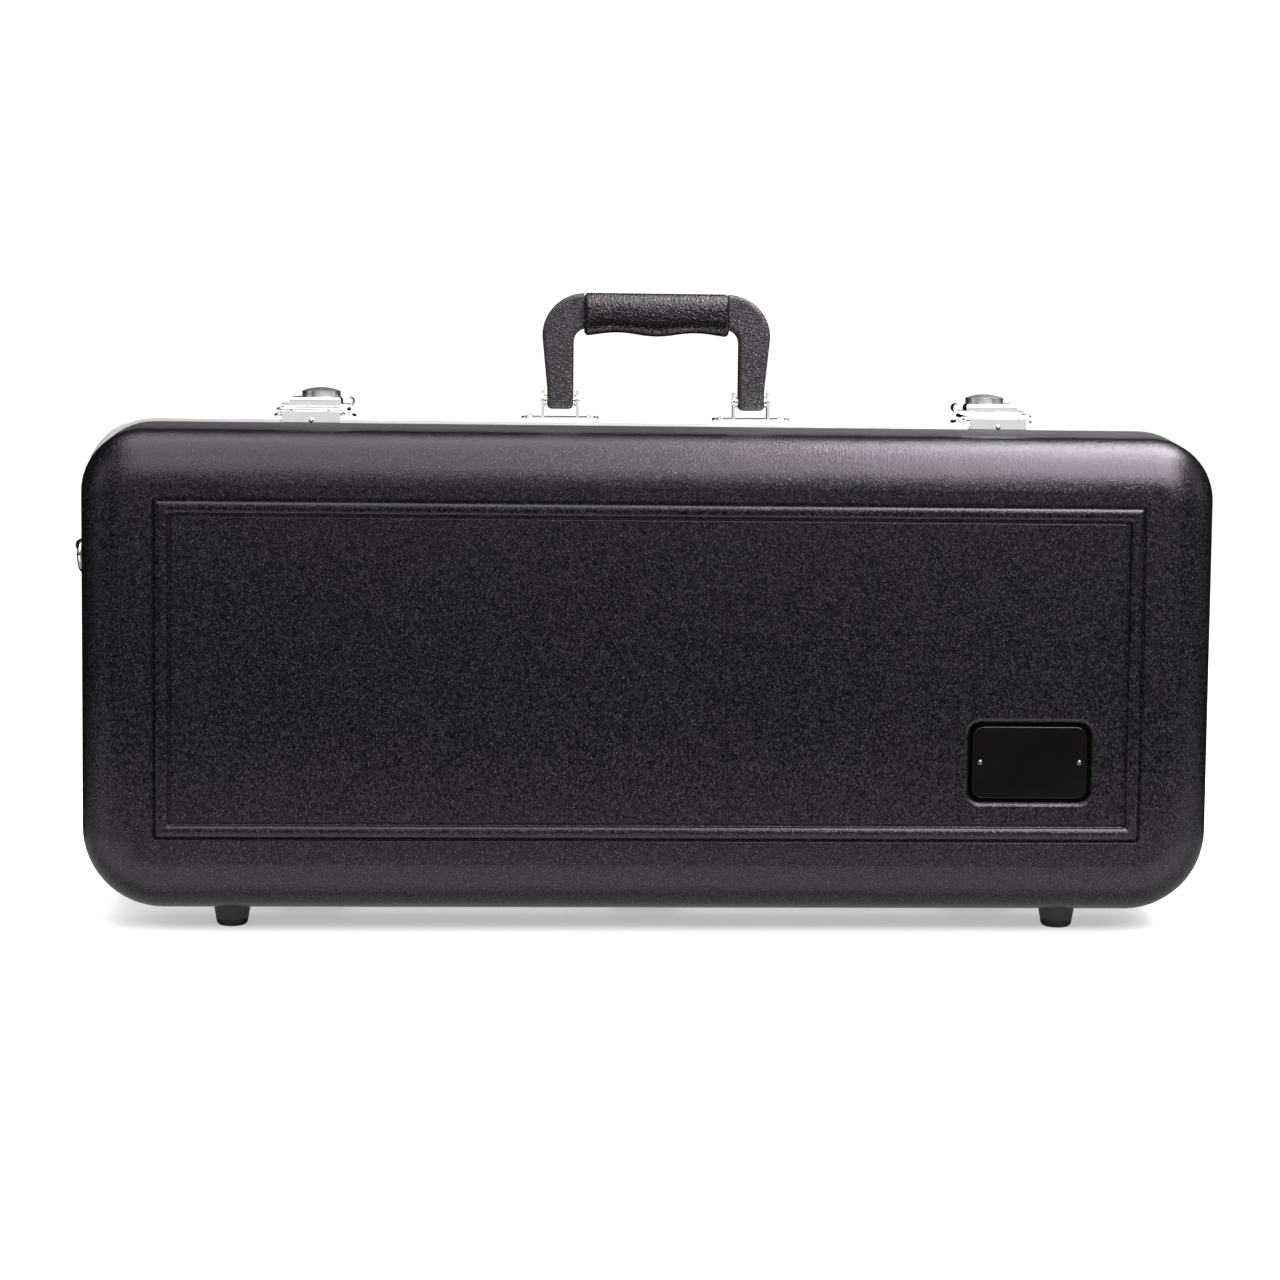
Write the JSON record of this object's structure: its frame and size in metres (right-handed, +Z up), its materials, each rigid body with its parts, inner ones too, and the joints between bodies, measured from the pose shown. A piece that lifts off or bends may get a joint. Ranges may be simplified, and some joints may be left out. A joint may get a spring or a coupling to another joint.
{
  "type": "alto saxophone case",
  "caption": "Moulded rectangular instrument case with rounded corners, aluminium valance, hinged lid, draw latches, swinging handle, strap rings, feet and a padded interior.",
  "frame": {"origin": "middle of the footprint, on the plane that the feet stand on", "axes": "+X along the length to the right seen from the lid, -Y out of the lid, +Z up through the handle"},
  "size_m": [0.6812, 0.1928, 0.3716],
  "materials": {
    "shell": "leather-grained moulding, satin",
    "valance": "bright extrusion",
    "chrome": "polished plate",
    "steel": "satin",
    "handle": "fine grain, satin",
    "grip": "grained, satin",
    "foot": "matt",
    "badge": "semi-gloss, bare",
    "plush": "short plush",
    "webbing": "woven tape"
  },
  "bodies": {
    "base": {"base_shell": "shell", "base_valance": "valance", "foam_bed": "plush", "base_feet": "foot", "base_foot_rivets": "steel", "base_hinge_leaves": "steel", "base_hinge_rivets": "steel", "hinge_pins": "steel", "compartment_pin": "steel", "left_latch_plate": "chrome", "right_latch_plate": "chrome", "latch_rivets": "chrome", "latch_pins": "chrome", "left_handle_bracket": "chrome", "right_handle_bracket": "chrome", "handle_rivets": "chrome", "handle_pins": "chrome", "handle_washers": "steel", "left_ring_clip": "chrome", "right_ring_clip": "chrome", "ring_clip_rivets": "chrome"},
    "lid": {"lid_shell": "shell", "lid_valance": "valance", "lid_lining": "plush", "lid_cushion": "plush", "lid_feet": "foot", "lid_foot_rivets": "steel", "lid_hinge_leaves": "steel", "lid_hinge_rivets": "steel", "left_catch_plate": "chrome", "right_catch_plate": "chrome", "catch_rivets": "chrome", "catch_front_rivets": "chrome", "badge_plate": "badge", "badge_rivets": "chrome"},
    "left_lever": {"left_latch_lever": "chrome", "left_latch_dome": "chrome"},
    "right_lever": {"right_latch_lever": "chrome", "right_latch_dome": "chrome"},
    "left_bail": {"left_latch_bail": "chrome"},
    "right_bail": {"right_latch_bail": "chrome"},
    "handle": {"handle_frame": "handle", "handle_grip": "grip"},
    "left_ring": {"left_d_ring": "chrome"},
    "right_ring": {"right_d_ring": "chrome"},
    "compartment": {"compartment_lid": "plush", "compartment_tab": "webbing"}
  },
  "joints": [
    {"name": "lid_open", "type": "hinge", "parent": "base", "child": "lid", "pos_m": [0, -0.01, 0.0046], "axis": [1, 0, 0], "range_deg": [0, 160]},
    {"name": "left_lever_lift", "type": "hinge", "parent": "base", "child": "left_lever", "pos_m": [-0.2, 0.002, 0.3006], "axis": [1, 0, 0], "range_deg": [0, 92]},
    {"name": "left_bail_turn", "type": "hinge", "parent": "left_lever", "child": "left_bail", "pos_m": [-0.2, 0.0085, 0.3006], "axis": [1, 0, 0], "range_deg": [-92, 0]},
    {"name": "right_lever_lift", "type": "hinge", "parent": "base", "child": "right_lever", "pos_m": [0.207, 0.002, 0.3006], "axis": [1, 0, 0], "range_deg": [0, 92]},
    {"name": "right_bail_turn", "type": "hinge", "parent": "right_lever", "child": "right_bail", "pos_m": [0.207, 0.0085, 0.3006], "axis": [1, 0, 0], "range_deg": [-92, 0]},
    {"name": "handle_swing", "type": "hinge", "parent": "base", "child": "handle", "pos_m": [0.0035, 0, 0.3072], "axis": [1, 0, 0], "range_deg": [-90, 90]},
    {"name": "left_ring_swing", "type": "hinge", "parent": "base", "child": "left_ring", "pos_m": [-0.3368, -0.0025, 0.2185], "axis": [0, 1, 0], "range_deg": [0, 160]},
    {"name": "right_ring_swing", "type": "hinge", "parent": "base", "child": "right_ring", "pos_m": [0.3368, -0.0025, 0.2185], "axis": [0, 1, 0], "range_deg": [-160, 0]},
    {"name": "compartment_open", "type": "hinge", "parent": "base", "child": "compartment", "pos_m": [-0.2188, -0.00275, 0.20405], "axis": [1, 0, 0], "range_deg": [0, 100]}
  ],
  "couplings": [
    {"joint": "left_bail_turn", "follows": "left_lever_lift", "ratio": -1},
    {"joint": "right_bail_turn", "follows": "right_lever_lift", "ratio": -1}
  ]
}
